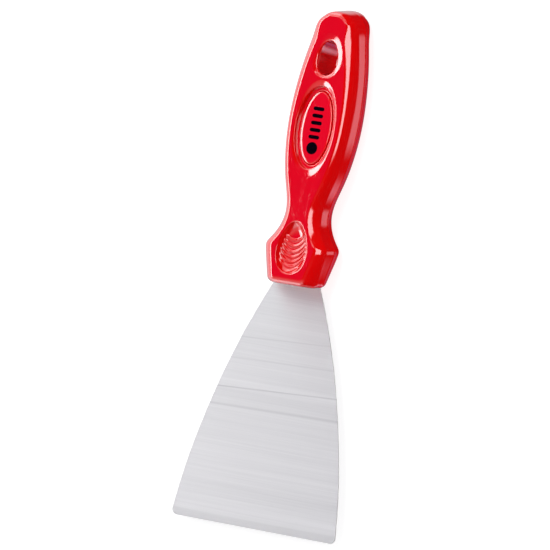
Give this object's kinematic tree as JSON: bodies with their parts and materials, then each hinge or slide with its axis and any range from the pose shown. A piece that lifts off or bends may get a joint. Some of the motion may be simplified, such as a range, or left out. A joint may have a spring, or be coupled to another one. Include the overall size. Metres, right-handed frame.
{
  "type": "flexible putty knife",
  "caption": "Flexible putty knife: thin flared spring-steel blade moulded into a waisted glossy plastic handle with thumb scoops, oval badges and an egg-shaped hang hole.",
  "frame": {"origin": "below the middle of the overall box, on the plane that the handle's back face lies on", "axes": "+Y along the knife from the blade's edge to the hanging end, +Z out of the handle's front face, +X across the blade"},
  "size_m": [0.0798, 0.2212, 0.018],
  "materials": {
    "handle_plastic": "high gloss, moulded",
    "badge_plastic": "gloss, slightly softer than the handle",
    "blade_steel": "fine grinding lines across the blade"
  },
  "bodies": {
    "root": {"handle": "handle_plastic", "blade": "blade_steel", "badge_front": "badge_plastic", "badge_back": "badge_plastic"}
  },
  "joints": []
}
